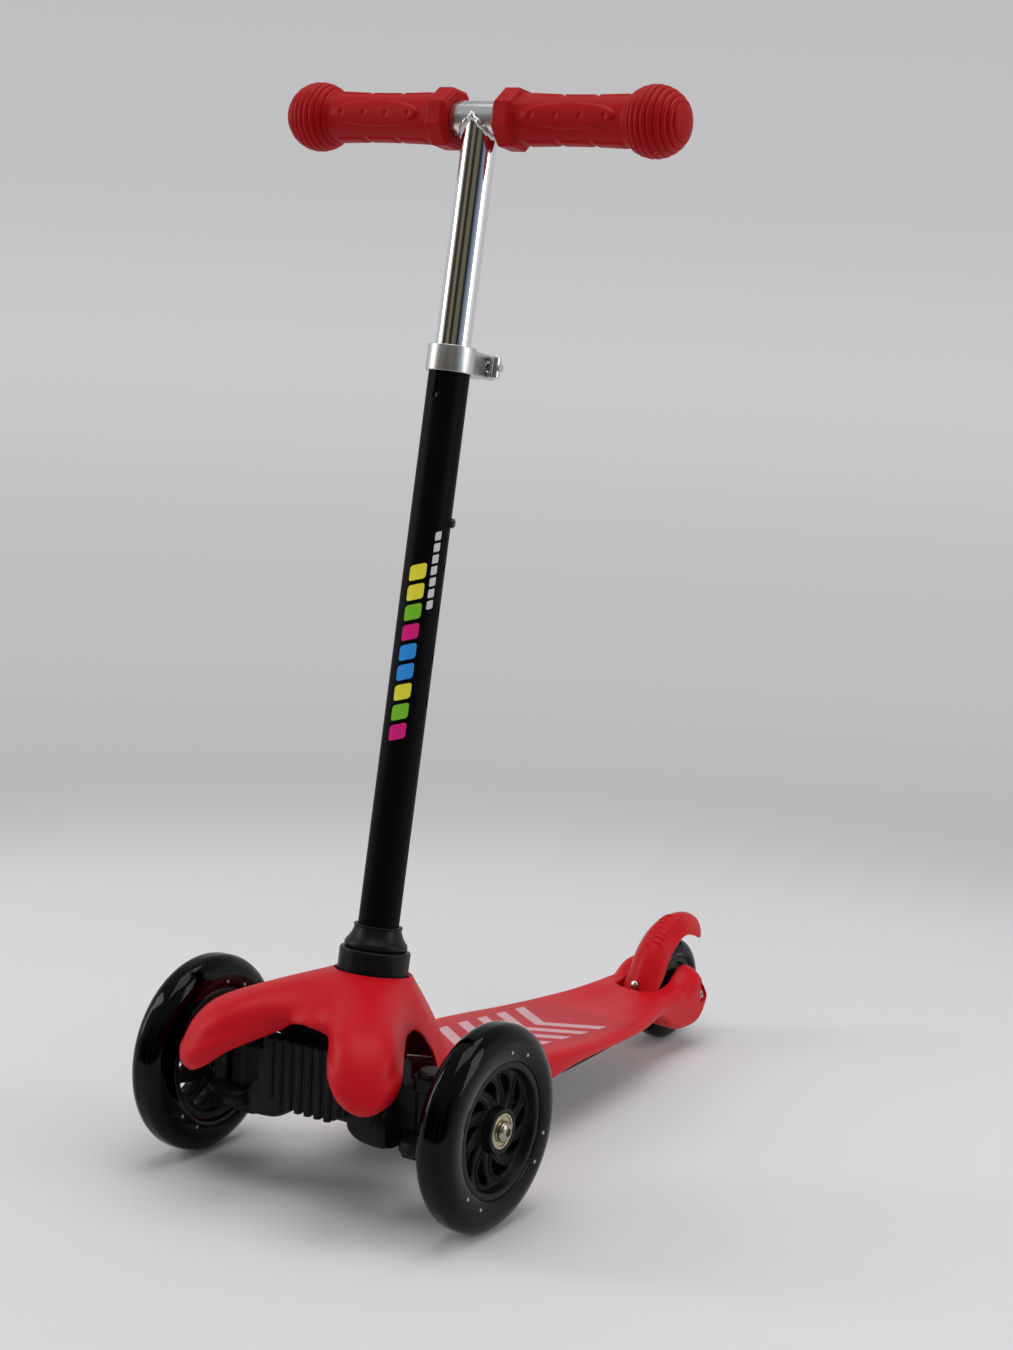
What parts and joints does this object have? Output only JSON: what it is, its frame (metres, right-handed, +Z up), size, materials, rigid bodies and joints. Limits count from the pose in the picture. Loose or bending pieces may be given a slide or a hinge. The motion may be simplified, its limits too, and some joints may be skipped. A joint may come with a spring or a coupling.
{
  "type": "three-wheel kick scooter",
  "caption": "Child's lean-to-steer kick scooter with two wheels in front, a braked wheel behind, a standing deck and a telescoping T-shaped handlebar.",
  "frame": {"origin": "on the ground, under the middle of the scooter's outer box", "axes": "+Z up, the rider faces -Y, +X to the rider's left"},
  "size_m": [0.284, 0.5292, 0.6689],
  "materials": {
    "red_shell": "satin moulded red, fine texture underfoot",
    "grip_rubber": "satin red",
    "black_nylon": "moulded black",
    "black_casting": "black powder coat",
    "black_tube": "matt black paint with a bright printed band",
    "smoky_tyre": "dark see-through urethane",
    "chrome_tube": "mirror",
    "clamp_alloy": "fine brushed",
    "bright_steel": "zinc plated",
    "bearing_steel": "zinc plated, slightly yellow",
    "spring_wire": "oiled spring wire"
  },
  "bodies": {
    "frame": {"deck": "red_shell", "deck_underframe": "black_nylon", "deck_screw_front_left": "bright_steel", "deck_screw_front_right": "bright_steel", "deck_screw_rear_left": "bright_steel", "deck_screw_rear_right": "bright_steel", "head_casting": "black_casting", "front_cover": "red_shell", "cover_screw_left": "bright_steel", "cover_screw_right": "bright_steel", "head_collar": "black_nylon", "stem_ferrule": "black_nylon", "lower_stem_tube": "black_tube", "clamp_collar": "clamp_alloy", "clamp_bolt": "bright_steel", "clamp_barrel_nut": "bright_steel", "clamp_washer": "black_nylon", "clamp_cam_pin": "bright_steel", "lean_pivot_bolt": "bright_steel", "lean_pivot_nut": "bright_steel", "lean_spring_left": "spring_wire", "lean_spring_right": "spring_wire", "rear_axle_bolt": "bright_steel", "rear_axle_nut": "bright_steel", "rear_sleeve": "bright_steel", "brake_pivot_pin": "bright_steel", "brake_spring": "spring_wire"},
    "beam": {"axle_beam": "black_nylon", "beam_shroud": "black_nylon"},
    "tie_rod": {"tie_rod": "bright_steel"},
    "knuckle_left": {"knuckle_left": "black_nylon", "kingpin_left": "black_tube", "front_axle_bolt_left": "bright_steel", "front_left_sleeve": "bright_steel"},
    "knuckle_right": {"knuckle_right": "black_nylon", "kingpin_right": "black_tube", "front_axle_bolt_right": "bright_steel", "front_right_sleeve": "bright_steel"},
    "front_wheel_left": {"front_tyre_left": "smoky_tyre", "front_core_left": "black_nylon", "front_left_bearing_outer": "bearing_steel", "front_left_bearing_inner": "bearing_steel"},
    "front_wheel_right": {"front_tyre_right": "smoky_tyre", "front_core_right": "black_nylon", "front_right_bearing_outer": "bearing_steel", "front_right_bearing_inner": "bearing_steel"},
    "rear_wheel": {"rear_tyre": "smoky_tyre", "rear_core": "black_nylon", "rear_bearing_outer": "bearing_steel", "rear_bearing_inner": "bearing_steel"},
    "handlebar": {"upper_stem_tube": "chrome_tube", "crossbar": "chrome_tube", "grip_left": "grip_rubber", "grip_right": "grip_rubber"},
    "height_clip": {"height_snap_clip": "spring_wire"},
    "stem_clip": {"stem_snap_clip": "spring_wire"},
    "clamp_lever": {"clamp_lever": "clamp_alloy"},
    "brake": {"brake_fender": "red_shell", "brake_rivet": "bright_steel"}
  },
  "joints": [
    {"name": "lean", "type": "hinge", "parent": "frame", "child": "beam", "pos_m": [0, -0.18965, 0.07], "axis": [0, 1, 0], "range_deg": [-10, 10], "stiffness_Nm_per_rad": 60, "deforming": ["lean_spring_left", "lean_spring_right"]},
    {"name": "tie_rod_slide", "type": "slide", "parent": "beam", "child": "tie_rod", "axis": [1, 0, 0], "range_m": [-0.0042, 0.0042]},
    {"name": "steer_left", "type": "hinge", "parent": "beam", "child": "knuckle_left", "pos_m": [0.069, -0.19365, 0.0625], "axis": [0, 0, 1], "range_deg": [-11, 11]},
    {"name": "steer_right", "type": "hinge", "parent": "beam", "child": "knuckle_right", "pos_m": [-0.069, -0.19365, 0.0625], "axis": [0, 0, 1], "range_deg": [-11, 11]},
    {"name": "front_spin_left", "type": "hinge", "parent": "knuckle_left", "child": "front_wheel_left", "pos_m": [0.1065, -0.18965, 0.0625], "axis": [1, 0, 0], "continuous": true},
    {"name": "front_spin_right", "type": "hinge", "parent": "knuckle_right", "child": "front_wheel_right", "pos_m": [-0.1065, -0.18965, 0.0625], "axis": [1, 0, 0], "continuous": true},
    {"name": "rear_spin", "type": "hinge", "parent": "frame", "child": "rear_wheel", "pos_m": [0, 0.21385, 0.0375], "axis": [1, 0, 0], "continuous": true},
    {"name": "height_slide", "type": "slide", "parent": "frame", "child": "handlebar", "axis": [0, 0.1444, 0.9895], "range_m": [-0.11, 0], "deforming": ["height_snap_clip"]},
    {"name": "height_clip_press", "type": "slide", "parent": "handlebar", "child": "height_clip", "axis": [-0.9063, -0.4182, 0.061], "range_m": [0, 0.0026], "stiffness_N_per_m": 3000, "springref_m": -0.001, "deforming": ["height_snap_clip"]},
    {"name": "stem_clip_press", "type": "slide", "parent": "frame", "child": "stem_clip", "axis": [1, 0, 0], "range_m": [0, 0.0026], "stiffness_N_per_m": 3000, "springref_m": -0.001},
    {"name": "clamp_lever_swing", "type": "hinge", "parent": "frame", "child": "clamp_lever", "pos_m": [-0.0179, -0.07915, 0.49836], "axis": [0, -0.1444, -0.9895], "range_deg": [0, 140]},
    {"name": "brake_press", "type": "hinge", "parent": "frame", "child": "brake", "pos_m": [0, 0.16415, 0.036], "axis": [-1, 0, 0], "range_deg": [0, 4], "stiffness_Nm_per_rad": 0.6, "springref_deg": -14.32, "deforming": ["brake_spring"]}
  ],
  "couplings": [
    {"joint": "tie_rod_slide", "follows": "lean", "m_per_rad": 0.024},
    {"joint": "steer_left", "follows": "lean", "ratio": -1.0909},
    {"joint": "steer_right", "follows": "lean", "ratio": -1.0909}
  ]
}
